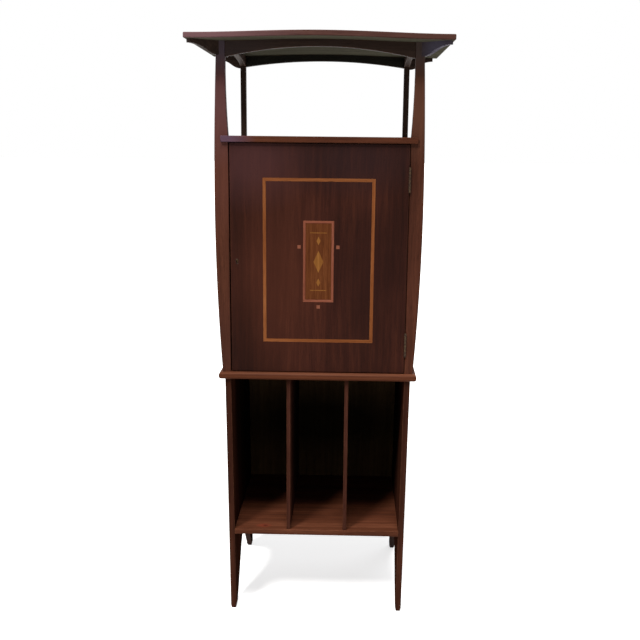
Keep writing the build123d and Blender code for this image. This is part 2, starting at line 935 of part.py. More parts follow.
with BuildPart() as plaque_frame:
    with BuildSketch(sunk(plaque_depth)):
        with Locations((0, plaque_z)):
            Rectangle(plaque_width, plaque_height)
            Rectangle(field_width, field_height, mode=Mode.SUBTRACT)
    extrude(amount=plaque_depth)
save(plaque_frame.part, "plaque_frame")

with BuildPart() as plaque_field:
    with BuildSketch(sunk(plaque_depth)):
        with Locations((0, plaque_z)):
            Rectangle(field_width, field_height)
    extrude(amount=plaque_depth)
    extrude(lozenge_shapes.sketch, amount=motif_depth, mode=Mode.SUBTRACT)
    extrude(line_shapes.sketch, amount=motif_depth, mode=Mode.SUBTRACT)
save(plaque_field.part, "plaque_field")

with BuildPart() as plaque_lozenges:
    extrude(lozenge_shapes.sketch, amount=motif_depth)
save(plaque_lozenges.part, "plaque_lozenges")

with BuildPart() as plaque_lines:
    extrude(line_shapes.sketch, amount=motif_depth)
save(plaque_lines.part, "plaque_lines")

with BuildPart() as escutcheon:
    with BuildSketch(facing(case_front + escutcheon_depth)):
        keyhole(escutcheon_wall)
    extrude(amount=escutcheon_depth)
    with BuildSketch(facing(case_front + escutcheon_depth)):
        keyhole(0)
    extrude(amount=escutcheon_depth, mode=Mode.SUBTRACT)
save(escutcheon.part, "escutcheon")

# Lock: a case with a fore-end, a cap plate and a sliding bolt
with BuildPart() as lock_case:
    with BuildSketch(facing(lock_back)):
        with Locations(((door_left + lock_right) / 2, (lock_low + lock_high) / 2)):
            Rectangle(lock_case_width, lock_high - lock_low)
        with Locations((door_left + lock_fore_thick / 2, (fore_low + fore_high) / 2)):
            Rectangle(lock_fore_thick, fore_high - fore_low)
    extrude(amount=lock_case_thick)
    with BuildSketch(facing(bolt_y + bolt_thick / 2 + bolt_clearance)):
        with Locations(((door_left + channel_right) / 2, bolt_z)):
            Rectangle(channel_right - door_left, bolt_height + 2 * bolt_clearance)
        with Locations((key_x, key_z)):
            Circle(key_chamber_radius)
    extrude(amount=bolt_thick + 2 * bolt_clearance, mode=Mode.SUBTRACT)
    with BuildSketch(facing(bolt_y)):
        keyhole(0)
    extrude(amount=bolt_y - lock_front, mode=Mode.SUBTRACT)
save(lock_case.part, "lock_case")

with BuildPart() as lock_bolt:
    with BuildSketch(facing(bolt_y + bolt_thick / 2)):
        with Locations((bolt_rest + bolt_length / 2, bolt_z)):
            Rectangle(bolt_length, bolt_height)
        with Locations((key_x + bolt_throw / 2, bolt_z - bolt_height / 2)):
            Rectangle(bolt_throw, bolt_height / 2, mode=Mode.SUBTRACT)
    extrude(amount=bolt_thick)
save(lock_bolt.part, "lock_bolt")

with BuildPart() as lock_cap:
    with BuildSketch(facing(case_front + door_thick)):
        with Locations(((door_left + cap_right) / 2, (cap_low + cap_high) / 2)):
            Rectangle(cap_right - door_left, cap_high - cap_low)
    extrude(amount=lock_cap_thick)
    lock_shanks(Mode.SUBTRACT)
save(lock_cap.part, "lock_cap")

with BuildPart() as lock_screws:
    lock_shanks(Mode.ADD)
save(lock_screws.part, "lock_screws")


# Butt hinges: a leaf on the post, a leaf on the door and a pin
def hinge_leaf(sign, centre, own, hole_radius):
    """One leaf with its own knuckles; sign 1 sits on the post, -1 on the door."""
    x_range = leaf_x(sign)
    low = centre - hinge_length / 2
    pitch = hinge_length / knuckle_count
    with BuildPart() as leaf:
        with BuildSketch(Plane.XY.offset(low)):
            with Locations((sum(x_range) / 2, case_front + hinge_leaf_depth / 2)):
                Rectangle(hinge_leaf_thick, hinge_leaf_depth)
        extrude(amount=hinge_length)
        for index in own:
            start = low + index * pitch + (knuckle_gap / 2 if index > 0 else 0)
            end = low + (index + 1) * pitch - (knuckle_gap / 2 if index < knuckle_count - 1 else 0)
            with BuildSketch(Plane.XY.offset(start)):
                with Locations((hinge_x, hinge_y)):
                    Circle(hinge_barrel_radius)
                with Locations((sum(x_range) / 2, (hinge_y + case_front) / 2)):
                    Rectangle(hinge_leaf_thick, case_front - hinge_y)
            extrude(amount=end - start)
        with BuildSketch(Plane.XY.offset(low)):
            with Locations((hinge_x, hinge_y)):
                Circle(hole_radius)
        extrude(amount=hinge_length, mode=Mode.SUBTRACT)
        leaf_screws(sign, centre, Mode.SUBTRACT)
    return leaf.part


post_knuckles = range(0, knuckle_count, 2)
door_knuckles = range(1, knuckle_count, 2)
for level, centre in hinge_centres.items():
    save(hinge_leaf(1, centre, post_knuckles, hinge_pin_radius), f"{level}_hinge_post_leaf")
    running_hole = hinge_pin_radius + hinge_pin_clearance
    save(hinge_leaf(-1, centre, door_knuckles, running_hole), f"{level}_hinge_door_leaf")
    with BuildPart() as hinge_pin:
        pin_low = centre - hinge_length / 2
        with BuildSketch(Plane.XY.offset(pin_low)):
            with Locations((hinge_x, hinge_y)):
                Circle(hinge_pin_radius)
        extrude(amount=hinge_length)
        for end, push in ((pin_low, -hinge_pin_head), (pin_low + hinge_length, hinge_pin_head)):
            with BuildSketch(Plane.XY.offset(end)):
                with Locations((hinge_x, hinge_y)):
                    Circle(hinge_barrel_radius)
            extrude(amount=push)
        tips = hinge_pin.edges().filter_by(GeomType.CIRCLE)
        fillet([tips.sort_by(Axis.Z)[0], tips.sort_by(Axis.Z)[-1]], radius=hinge_pin_head * head_round_share)
    save(hinge_pin.part, f"{level}_hinge_pin")

for name, sign in (("post_hinge_screws", 1), ("door_hinge_screws", -1)):
    with BuildPart() as hinge_screws:
        for centre in hinge_centres.values():
            leaf_screws(sign, centre, Mode.ADD)
    save(hinge_screws.part, name)
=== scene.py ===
"""Looks of a tall wooden music cabinet with an inlaid door.

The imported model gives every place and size. The script adds softened wooden boards, inlay strips,
finishes, a floor, lamps and the camera. Lengths are metres, and colours are written as sRGB 0-255.
"""
import json
import math
import bmesh
import bpy
from mathutils import Matrix, Vector


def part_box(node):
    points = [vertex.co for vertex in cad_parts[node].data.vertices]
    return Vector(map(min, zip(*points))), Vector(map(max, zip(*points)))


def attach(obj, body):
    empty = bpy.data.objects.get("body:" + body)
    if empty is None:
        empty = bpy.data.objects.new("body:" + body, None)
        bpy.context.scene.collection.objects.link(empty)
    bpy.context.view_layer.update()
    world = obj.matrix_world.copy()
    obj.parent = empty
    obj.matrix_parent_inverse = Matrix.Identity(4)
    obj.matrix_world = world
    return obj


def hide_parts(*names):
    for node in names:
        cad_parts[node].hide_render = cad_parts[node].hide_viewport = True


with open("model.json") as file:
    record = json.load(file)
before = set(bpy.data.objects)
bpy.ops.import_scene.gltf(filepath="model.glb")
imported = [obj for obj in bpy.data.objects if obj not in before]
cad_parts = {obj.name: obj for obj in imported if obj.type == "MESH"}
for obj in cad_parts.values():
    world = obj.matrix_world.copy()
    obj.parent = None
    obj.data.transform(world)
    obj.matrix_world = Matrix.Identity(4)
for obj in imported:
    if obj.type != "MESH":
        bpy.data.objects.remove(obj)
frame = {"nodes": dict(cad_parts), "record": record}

NODES = frame["nodes"]
BODY_OF = {n: body for body, names in frame["record"]["behaviour"]["bodies"].items() for n in names}
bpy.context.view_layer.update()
AXES = {"X": 0, "Y": 1, "Z": 2}
DOWN = (0, 0, -1)
FORWARDS = (0, -1, 0)
WHITE = (1.0, 1.0, 1.0, 1.0)


# Colour and node helpers

def rgb(red, green, blue):
    """A linear colour from an sRGB one."""
    def linear(value):
        share = value / 255
        return share / 12.92 if share <= 0.04045 else ((share + 0.055) / 1.055) ** 2.4
    return linear(red), linear(green), linear(blue), 1.0


class Tree:
    """The node tree of a material or of the world, built node by node."""

    def __init__(self, holder):
        self.holder = holder
        self.holder.use_nodes = True
        self.nodes = self.holder.node_tree.nodes
        self.links = self.holder.node_tree.links
        self.nodes.clear()

    def add(self, kind, inputs=None, **settings):
        node = self.nodes.new("ShaderNode" + kind)
        for key, value in settings.items():
            setattr(node, key, value)
        for key, value in (inputs or {}).items():
            if isinstance(value, bpy.types.NodeSocket):
                self.links.new(value, node.inputs[key])
            else:
                node.inputs[key].default_value = value
        return node

    def math(self, operation, first, second):
        return self.add("Math", {0: first, 1: second}, operation=operation).outputs[0]

    def times_plus(self, value, factor, more):
        """value times factor, plus more."""
        return self.add("Math", {0: value, 1: factor, 2: more}, operation="MULTIPLY_ADD").outputs[0]

    def vector(self, operation, inputs, output=0):
        return self.add("VectorMath", inputs, operation=operation).outputs[output]

    def mix(self, share, first, second):
        return self.add("Mix", {0: share, 6: first, 7: second}, data_type="RGBA").outputs[2]

    def spread(self, value, low, high, to_low=0.0, to_high=1.0):
        """value taken from the range low to high into the range to_low to to_high."""
        node = self.add("MapRange", {0: value, 1: low, 2: high, 3: to_low, 4: to_high}, clamp=True)
        return node.outputs[0]

    def place(self, vector, shift=(0, 0, 0), turn=(0, 0, 0), scale=(1, 1, 1)):
        return self.add("Mapping", {0: vector, 1: shift, 2: turn, 3: scale}).outputs[0]

    def noise(self, vector, scale, detail, fine=0.5):
        """Noise, where fine is how strong its finer layers are."""
        return self.add("TexNoise", {"Vector": vector, "Scale": scale, "Detail": detail, "Roughness": fine})

    def finish(self, inputs):
        shader = self.add("BsdfPrincipled", inputs)
        self.add("OutputMaterial", {"Surface": shader.outputs[0]})
        return self.holder


# Materials

# The range that most of a noise's values fill
NOISE_LOW, NOISE_HIGH = 0.3, 0.7

# Each seed moves a board this far through the wood's pattern.
SEED_SHIFT = (0.37, 0.61, 0.83)
RING_SHIFT = (0.21, 0.17, 0.13)
WAVER_REACH = (0.03, 0.03, 0.03)
BAND_SHARE, FIBRE_SHARE, HAIR_SHARE, RING_SHARE = 0.38, 0.40, 0.18, 0.04
FIBRE_HEIGHT, HAIR_HEIGHT, PORE_HEIGHT = 0.5, 0.35, -0.6
HAIR_FINENESS = 6.0
FIGURE_REACH = 0.17
PORE_TONE = 0.45
PORE_DEPTH = 0.55
PORE_LOW, PORE_HIGH = 0.60, 0.74
GRIME_LIFT = 0.4
RUBBED_LOW, RUBBED_HIGH, RUBBED_LEAST = 0.42, 0.66, 0.15
BLOTCH_ROUGHNESS = 0.12
WOOD_BUMP, WOOD_RELIEF = 0.30, 0.0006
WORN_TONE = (128, 82, 56)

# A patch covers by its whole amount inside this share of its radii, and fades out from there.
PATCH_CORE = 0.25


def wood(name, tones, grain="Z", seed=0.0, turn=0.0, rough=0.46, level=0.05, bands=20.0, fibres=105.0,
         worn=0.0, worn_tone=WORN_TONE, grime=0.25, contrast=1.0, patches=()):
    """Close-grained hardwood with growth lines, fibres and pores along grain.

    tones are its dark, middle and light colours, and turn swings the grain about the upright axis.
    rough and level are the roughness and the strength of its gloss. bands and fibres are how fine its
    growth lines and fibres are. worn is how much of it is rubbed to worn_tone. grime and contrast are
    the strength of its blotches and of its figure.
    patches are soft tinted places, real marks and painted light alike: each a centre, radii, a colour and
    how far it covers.
    """
    tree = Tree(bpy.data.materials.new(name))
    true_spot = tree.add("TexCoord").outputs["Object"]
    spot = true_spot
    if turn:
        spot = tree.place(spot, turn=(0.0, 0.0, turn))
    spot = tree.place(spot, shift=[step * seed for step in SEED_SHIFT])
    along = AXES[grain]

    def drawn_out(vector, length, scale, detail, fine=0.5):
        """Noise that is drawn out along the grain, length times as long as it is wide."""
        stretch = [1.0, 1.0, 1.0]
        stretch[along] = 1.0 / length
        return tree.noise(tree.place(vector, scale=stretch), scale, detail, fine)

    waver = drawn_out(spot, length=3.0, scale=4.0, detail=1.0).outputs["Color"]
    bent = tree.vector("MULTIPLY_ADD", {0: waver, 1: WAVER_REACH, 2: spot})
    band = drawn_out(bent, length=16.0, scale=bands, detail=2.0).outputs[0]
    fibre = drawn_out(bent, length=22.0, scale=fibres, detail=5.0, fine=0.62).outputs[0]
    hair = drawn_out(bent, length=40.0, scale=fibres * HAIR_FINENESS, detail=3.0, fine=0.6).outputs[0]
    ring_inputs = {"Vector": tree.place(bent, shift=RING_SHIFT), "Scale": 30.0, "Distortion": 2.5,
                   "Detail": 2.0, "Detail Scale": 0.6}
    ring = tree.add("TexWave", ring_inputs, wave_type="RINGS", rings_direction=grain).outputs[1]
    pore_noise = drawn_out(bent, length=26.0, scale=1100.0, detail=1.0).outputs[0]
    pore = tree.spread(pore_noise, PORE_LOW, PORE_HIGH)
    blotch = drawn_out(spot, length=2.2, scale=6.0, detail=3.0, fine=0.55).outputs[0]

    figure = tree.math("MULTIPLY", band, BAND_SHARE)
    for layer, share in ((fibre, FIBRE_SHARE), (hair, HAIR_SHARE), (ring, RING_SHARE)):
        figure = tree.times_plus(layer, share, figure)
    reach = FIGURE_REACH / contrast
    ramp = tree.add("ValToRGB", {0: tree.spread(figure, 0.5 - reach, 0.5 + reach)})
    steps = ramp.color_ramp.elements
    steps[0].color = rgb(*tones[0])
    steps[1].color = rgb(*tones[2])
    middle = steps.new(0.5)
    middle.color = rgb(*tones[1])

    shade = tree.spread(blotch, NOISE_LOW, NOISE_HIGH, 1.0 - grime, 1.0 + GRIME_LIFT * grime)
    colour = tree.vector("SCALE", {0: ramp.outputs[0], "Scale": shade})
    deep = rgb(*[PORE_TONE * tone for tone in tones[0]])
    colour = tree.mix(tree.math("MULTIPLY", pore, PORE_DEPTH), colour, deep)
    for centre, radii, tone, amount in patches:
        offset = tree.vector("SUBTRACT", {0: true_spot, 1: centre})
        away = tree.vector("LENGTH", {0: tree.vector("DIVIDE", {0: offset, 1: radii})}, "Value")
        colour = tree.mix(tree.spread(away, 1.0, PATCH_CORE, 0.0, amount), colour, rgb(*tone))
    if worn:
        rubbed = tree.noise(spot, scale=38.0, detail=4.0, fine=0.65).outputs[0]
        rub = tree.spread(rubbed, RUBBED_LOW, RUBBED_HIGH, RUBBED_LEAST * worn, worn)
        colour = tree.mix(rub, colour, rgb(*worn_tone))

    roughness = tree.spread(fibre, NOISE_LOW, NOISE_HIGH, rough - 0.05, rough + 0.06)
    roughness = tree.times_plus(blotch, BLOTCH_ROUGHNESS, roughness)
    height = tree.math("MULTIPLY", fibre, FIBRE_HEIGHT)
    height = tree.times_plus(hair, HAIR_HEIGHT, height)
    height = tree.times_plus(pore, PORE_HEIGHT, height)
    bump = tree.add("Bump", {"Strength": WOOD_BUMP, "Distance": WOOD_RELIEF, "Height": height}).outputs[0]
    return tree.finish({"Base Color": colour, "Roughness": roughness, "Normal": bump,
                        "Specular IOR Level": level})


METAL_BUMP, METAL_RELIEF = 0.25, 0.0002
METAL_LEVEL = 0.3
TARNISH_LOW, TARNISH_HIGH, TARNISH_REACH = 0.5, 0.78, 0.3


def metal(name, clean, dull, rough=0.38, share=0.5, metallic=1.0):
    """Old cast or drawn metal whose tarnish gathers in soft patches.

    share is how much of it is dull.
    """
    tree = Tree(bpy.data.materials.new(name))
    spot = tree.add("TexCoord").outputs["Object"]
    patch = tree.noise(spot, scale=240.0, detail=5.0, fine=0.6).outputs[0]
    grit = tree.noise(spot, scale=1500.0, detail=3.0, fine=0.6).outputs[0]
    reach = share * TARNISH_REACH
    tarnish = tree.spread(patch, TARNISH_LOW - reach, TARNISH_HIGH - reach)
    colour = tree.mix(tarnish, rgb(*clean), rgb(*dull))
    roughness = tree.spread(patch, NOISE_LOW, NOISE_HIGH, rough - 0.08, rough + 0.2)
    bump = tree.add("Bump", {"Strength": METAL_BUMP, "Distance": METAL_RELIEF, "Height": grit}).outputs[0]
    return tree.finish({"Base Color": colour, "Roughness": roughness, "Normal": bump,
                        "Metallic": metallic, "Specular IOR Level": METAL_LEVEL})


# Wooden boards

WOODS = {
    "post": ((52, 27, 18), (78, 43, 31), (106, 62, 45)),
    "case": ((44, 22, 15), (66, 36, 26), (88, 51, 37)),
    # The rear wood below is darker and greyer than the case wood: painted shade on the rear posts
    "rear": ((34, 23, 18), (54, 39, 32), (72, 54, 45)),
    "shelf": ((60, 31, 21), (86, 47, 31), (114, 68, 48)),
    "top": ((62, 38, 34), (88, 58, 52), (114, 80, 72)),
    # The pale grey-green wood below is for the underside of the top board: painted reflection
    "soffit_reflection": ((84, 81, 68), (106, 103, 87), (126, 122, 104)),
    "rail": ((44, 33, 28), (64, 49, 42), (84, 66, 57)),
    # The nearly black wood below is for the rear top rail: painted shade
    "shaded_rear_rail": ((22, 20, 16), (33, 31, 25), (46, 42, 34)),
    "divider": ((42, 22, 16), (64, 36, 28), (86, 50, 39)),
    "door": ((34, 15, 10), (55, 27, 20), (78, 41, 29)),
    "inner": ((56, 31, 22), (78, 46, 33), (102, 64, 46)),
    "back": ((56, 38, 27), (80, 55, 39), (104, 75, 54)),
    "bay_back": ((50, 36, 25), (72, 53, 38), (94, 72, 53)),
    # The lighter wood below is for the front face of the bays' back: painted light
    "bay_back_painted_light": ((104, 80, 54), (128, 100, 68), (150, 120, 84)),
    "dowel": ((140, 104, 70), (168, 128, 88), (190, 150, 106)),
}

# Tinted places of boards: a knot in the bay floor, and painted shade, painted sheen and painted highlights
# on the others
# Painted sheen and shade on the left front post: darker low down, lighter higher up and grey-violet at the
# top
LEFT_POST_SHEEN_AND_SHADE = (
    ((-0.250, -0.187, 0.780), (0.10, 0.06, 0.14), (66, 38, 30), 0.60),
    ((-0.250, -0.187, 1.220), (0.10, 0.06, 0.16), (96, 56, 46), 0.60),
    ((-0.250, -0.187, 1.440), (0.10, 0.06, 0.20), (112, 74, 74), 0.65),
    ((-0.250, -0.187, 1.550), (0.10, 0.06, 0.08), (84, 74, 82), 0.90),
)
# Painted sheen on the right front post: lighter in the open stage and greyer at the top
RIGHT_POST_SHEEN = (
    ((0.250, -0.187, 1.430), (0.10, 0.06, 0.18), (100, 64, 49), 0.70),
    ((0.250, -0.187, 1.550), (0.10, 0.06, 0.08), (80, 68, 64), 0.90),
)
# Painted shade on the lower sides: darker round the rear legs, low down
REAR_LEG_SHADE = (
    ((0.0, 0.240, 0.060), (0.90, 0.16, 0.20), (34, 20, 14), 0.50),
)
# Painted shade on the bays' walls and dividers, darkest low at the rear
BAY_WALL_SHADE = (
    ((0.0, 0.120, 0.480), (0.90, 0.30, 0.30), (16, 13, 9), 0.92),
    ((0.0, 0.260, 0.110), (0.90, 0.24, 0.34), (13, 8, 6), 0.95),
)
# Painted shade across the middle of the bays' back
BAY_BACK_SHADE = (
    ((0.0, 0.250, 0.430), (0.60, 0.10, 0.20), (22, 20, 14), 0.90),
)
# Painted sheen along the top board's front edge, pale violet at the left end and brownish at the right
TOP_EDGE_SHEEN = (
    ((-0.330, -0.258, 1.565), (0.30, 0.05, 0.06), (128, 94, 98), 0.75),
    ((0.330, -0.258, 1.565), (0.30, 0.05, 0.06), (84, 55, 47), 0.60),
)
# Painted highlight, pale violet, at the left end of the upper shelf's lip
UPPER_SHELF_HIGHLIGHT = (
    ((-0.250, -0.1945, 1.317), (0.09, 0.03, 0.03), (94, 74, 94), 0.75),
)
BAY_FLOOR_PATCHES = (
    ((-0.150, -0.160, 0.2445), (0.026, 0.016, 0.010), (118, 52, 36), 0.75),
    ((-0.146, -0.160, 0.2445), (0.010, 0.007, 0.010), (52, 22, 17), 0.75),
)
# Painted highlights along the waist shelf's front: on its top edge and lower down its rounded front
WAIST_HIGHLIGHTS = (
    ((0.0, -0.199, 0.7000), (0.60, 0.02, 0.004), (118, 74, 54), 0.55),
    ((0.0, -0.199, 0.6880), (0.60, 0.03, 0.009), (108, 60, 38), 0.55),
)
# Painted sheen, greyish, at the left end of the front top rail
RAIL_SHEEN = (
    ((-0.220, -0.180, 1.540), (0.14, 0.05, 0.05), (60, 50, 49), 0.70),
)
# Painted sheen, pale blue-violet, on the right front bracket
RIGHT_BRACKET_SHEEN = (
    ((0.290, -0.220, 1.540), (0.07, 0.07, 0.06), (96, 92, 110), 0.80),
)
# Painted sheen and shade on the door: violet sheen at top left, shade at top right, lighter left and darker
# right below
DOOR_SHEEN_AND_SHADE = (
    ((-0.170, -0.187, 1.260), (0.17, 0.05, 0.14), (78, 48, 48), 0.60),
    ((0.090, -0.187, 1.270), (0.22, 0.05, 0.11), (40, 26, 27), 0.65),
    ((-0.110, -0.187, 0.960), (0.15, 0.05, 0.32), (82, 43, 30), 0.45),
    ((0.130, -0.187, 0.960), (0.12, 0.05, 0.26), (50, 25, 20), 0.40),
)

# Limits for the rounding of boards. Turns are in degrees.
WELD_REACH = 2e-6
FLAT_TURN = 0.4
LEAST_TURN = 25.0
SHARP_TURN = 50
SHORTEST_EDGE = 0.004
FACING_LIMIT = 0.95


def placed(name, data):
    """A new object in the scene."""
    thing = bpy.data.objects.new(name, data)
    bpy.context.scene.collection.objects.link(thing)
    return thing


def stand_in(name, node, shape, materials):
    """Makes shape the piece that stands for a CAD node."""
    mesh = bpy.data.meshes.new(name)
    shape.to_mesh(mesh)
    shape.free()
    for material in materials:
        mesh.materials.append(material)
    piece = placed(name, mesh)
    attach(piece, BODY_OF[node])
    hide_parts(node)
    return piece


def softened(node, width, materials, inside=None, facing=DOWN):
    """A copy of a CAD board with its long outer edges rounded, apart from those that are inside.

    The rounding has the second material. Where there is a third, it is on the faces that face facing.
    """
    shape = bmesh.new()
    shape.from_mesh(NODES[node].data)
    bmesh.ops.remove_doubles(shape, verts=shape.verts, dist=WELD_REACH)
    bmesh.ops.dissolve_limit(shape, angle_limit=math.radians(FLAT_TURN), verts=shape.verts,
                             edges=shape.edges)
    picked = []
    for edge in shape.edges:
        if len(edge.link_faces) != 2 or not edge.is_convex or edge.calc_length() < SHORTEST_EDGE:
            continue
        if edge.calc_face_angle() < math.radians(LEAST_TURN):
            continue
        middle = (edge.verts[0].co + edge.verts[1].co) / 2
        if inside and inside(middle):
            continue
        picked.append(edge)
    bmesh.ops.bevel(shape, geom=picked, offset=width, segments=2, profile=0.5, affect="EDGES",
                    clamp_overlap=True, material=1)
    for face in shape.faces:
        face.smooth = True
        if len(materials) > 2 and face.normal.dot(Vector(facing)) > FACING_LIMIT:
            face.material_index = 2
    piece = stand_in(node + "_wood", node, shape, materials)
    piece.data.set_sharp_from_angle(angle=math.radians(SHARP_TURN))
    weighted = piece.modifiers.new("flat_faces", "WEIGHTED_NORMAL")
    weighted.keep_sharp = True


EDGE_WEAR = 0.35


def board(node, kind, grain, seed, width, under=None, facing=DOWN, **looks):
    """A softened board with its own cut of one of WOODS, worn only at its edges.

    under is a material for the faces that face facing.
    """
    edge_looks = dict(looks)
    edge_looks["worn"] = looks.get("worn", EDGE_WEAR)
    looks["worn"] = 0.0
    face = wood(node + "_face", WOODS[kind], grain, seed, **looks)
    edge = wood(node + "_edge", WOODS[kind], grain, seed, **edge_looks)
    softened(node, width, [face, edge] + ([under] if under else []), facing=facing)


# Boards with no tinted places of their own: node, wood, grain, seed and the width of the rounding
BOARDS = (
    # The rear posts and the rear top rail take their darker woods as painted shade.
    ("left_rear_post", "rear", "Z", 3.1, 0.0014),
    ("right_rear_post", "rear", "Z", 4.7, 0.0014),
    ("left_side_panel", "case", "Z", 5.2, 0.0008),
    ("right_side_panel", "case", "Z", 6.9, 0.0008),
    ("rear_top_rail", "shaded_rear_rail", "X", 14.9, 0.0012),
    ("left_top_rail", "rail", "Y", 15.4, 0.0012),
    ("right_top_rail", "rail", "Y", 16.7, 0.0012),
    ("left_rear_bracket", "rail", "X", 17.1, 0.0010),
    ("right_rear_bracket", "rail", "X", 18.4, 0.0010),
    ("lower_inner_shelf", "inner", "X", 21.5, 0.0010),
    ("upper_inner_shelf", "inner", "X", 22.8, 0.0010),
    ("lower_left_bearer", "inner", "Y", 23.3, 0.0008),
    ("lower_right_bearer", "inner", "Y", 24.6, 0.0008),
    ("upper_left_bearer", "inner", "Y", 25.1, 0.0008),
    ("upper_right_bearer", "inner", "Y", 26.9, 0.0008),
    ("door_stop", "inner", "X", 27.2, 0.0008),
    ("cupboard_back", "back", "Z", 29.8, 0.0006),
)
for node, kind, grain, seed, width in BOARDS:
    board(node, kind, grain, seed, width)

# The front posts' edges are rubbed lighter and golden: wear, with a painted highlight.
POST_WEAR_AND_HIGHLIGHT = {"worn": 0.55, "worn_tone": (128, 84, 50)}
BRACKET_TURN = math.radians(45)
BAY_BACK_SEED = 28.5
TOP_SEED = 12.5
# How far a divider's seed is from that of the lower side next to it
DIVIDER_SEED_STEP = 12.0

board("waist_shelf", "shelf", "X", 9.3, 0.0010, patches=WAIST_HIGHLIGHTS)
board("left_front_post", "post", "Z", 1.0, 0.0014, patches=LEFT_POST_SHEEN_AND_SHADE, **POST_WEAR_AND_HIGHLIGHT)
board("right_front_post", "post", "Z", 2.3, 0.0014, patches=RIGHT_POST_SHEEN, **POST_WEAR_AND_HIGHLIGHT)
# The bays' walls and dividers get painted shade and almost no gloss, and the lower sides get painted shade
# at the rear legs.
for side, inwards, seed in (("left", (1, 0, 0), 7.4), ("right", (-1, 0, 0), 8.8)):
    node = side + "_lower_side"
    bay_wall_shade = wood(node + "_bay", WOODS["case"], "Z", seed, rough=0.8, level=0.0, patches=BAY_WALL_SHADE)
    board(node, "case", "Z", seed, 0.0014, under=bay_wall_shade, facing=inwards, level=0.02, patches=REAR_LEG_SHADE)
    board(side + "_divider", "divider", "Z", seed + DIVIDER_SEED_STEP, 0.0012, rough=0.7, level=0.01,
          patches=BAY_WALL_SHADE)
# The front face of the bays' back is lighter than the rest of that board as painted light, with painted
# shade across its middle.
bay_front_light_and_shade = wood("lower_back_front", WOODS["bay_back_painted_light"], "Z", BAY_BACK_SEED, rough=0.8, level=0.01,
                 patches=BAY_BACK_SHADE)
board("lower_back", "bay_back", "Z", BAY_BACK_SEED, 0.0006, under=bay_front_light_and_shade, facing=FORWARDS, rough=0.8)
board("upper_shelf", "shelf", "X", 10.6, 0.0012, patches=UPPER_SHELF_HIGHLIGHT)
board("bottom_shelf", "shelf", "X", 11.1, 0.0012, patches=BAY_FLOOR_PATCHES)
# The underside of the top board has almost no gloss and a pale grey-green colour: painted reflection.
soffit_reflection = wood("top_board_under", WOODS["soffit_reflection"], "X", TOP_SEED, rough=0.85, level=0.01)
board("top_board", "top", "X", TOP_SEED, 0.0016, under=soffit_reflection, patches=TOP_EDGE_SHEEN)
board("front_top_rail", "rail", "X", 13.2, 0.0012, patches=RAIL_SHEEN)
board("left_front_bracket", "rail", "X", 30.4, 0.0010, turn=BRACKET_TURN)
board("right_front_bracket", "rail", "X", 31.7, 0.0010, turn=-BRACKET_TURN, patches=RIGHT_BRACKET_SHEEN)

# The door's face keeps sharp lines round its inlays.
door_low, door_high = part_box("door_panel")
DOOR_RIM = 0.004
DOOR_ROUNDING = 0.0009
DOOR_WEAR = 0.3
# The door's cut carries its painted sheen and shade.
DOOR_CUT = {"seed": 33.0, "bands": 24.0, "fibres": 170.0, "contrast": 0.86, "grime": 0.52,
            "patches": DOOR_SHEEN_AND_SHADE}


def away_from_rim(spot):
    across = door_low.x + DOOR_RIM < spot.x < door_high.x - DOOR_RIM
    return across and door_low.z + DOOR_RIM < spot.z < door_high.z - DOOR_RIM


door_face = wood("door_face", WOODS["door"], "Z", **DOOR_CUT)
door_edge = wood("door_edge", WOODS["door"], "Z", worn=DOOR_WEAR, **DOOR_CUT)
softened("door_panel", DOOR_ROUNDING, [door_face, door_edge], inside=away_from_rim)


# Inlays

STRIP_ROUNDING = 0.00018
SAME_PLANE = 1e-6


def strip_ring(name, node, width, upright, level_wood, line=None, line_width=0.0):
    """A flush ring of four mitred strips in place of a CAD ring, each with its grain along it.

    A line of its own wood can run round the ring's inner edge.
    """
    low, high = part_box(node)
    front, rear = low.y, high.y

    def corners(inset):
        x0, x1, z0, z1 = low.x + inset, high.x - inset, low.z + inset, high.z - inset
        return [(x0, z0), (x1, z0), (x1, z1), (x0, z1)]

    shape = bmesh.new()
    rings = [(0.0, width - line_width, 0, 1)]
    if line:
        rings.append((width - line_width, width, 2, 2))
    for start, end, upright_slot, level_slot in rings:
        outer, inner = corners(start), corners(end)
        for k in range(4):
            j = (k + 1) % 4
            flat = [outer[k], outer[j], inner[j], inner[k]]
            near = [shape.verts.new((x, front, z)) for x, z in flat]
            far = [shape.verts.new((x, rear, z)) for x, z in flat]
            faces = [shape.faces.new(near), shape.faces.new(far[::-1])]
            for i in range(4):
                m = (i + 1) % 4
                faces.append(shape.faces.new((near[m], near[i], far[i], far[m])))
            for face in faces:
                face.material_index = level_slot if k in (0, 2) else upright_slot
    bmesh.ops.recalc_face_normals(shape, faces=shape.faces)
    rim = [edge for edge in shape.edges if all(abs(v.co.y - front) < SAME_PLANE for v in edge.verts)]
    bmesh.ops.bevel(shape, geom=rim, offset=STRIP_ROUNDING, segments=1, affect="EDGES",
                    clamp_overlap=True, material=-1)
    stand_in(name, node, shape, [upright, level_wood] + ([line] if line else []))


SATIN = ((104, 56, 27), (132, 76, 41), (156, 98, 58))
COPPER = ((112, 60, 42), (138, 79, 59), (162, 102, 80))
FIELD = ((78, 39, 18), (98, 53, 27), (120, 70, 38))
LIGHT = ((116, 70, 30), (140, 90, 42), (164, 112, 58))
LINE = ((54, 24, 13), (74, 33, 17), (92, 44, 24))
SQUARE = ((112, 62, 46), (138, 82, 62), (162, 106, 84))
BAND_CUT = {"fibres": 260.0, "bands": 60.0, "grime": 0.15}
BORDER_CUT = {"fibres": 300.0, "bands": 70.0, "grime": 0.12}
SMALL_CUT = {"fibres": 400.0, "bands": 120.0, "grime": 0.1}
BAND_WIDTH = 0.0086
BORDER_WIDTH = 0.0073
LINE_WIDTH = 0.0009

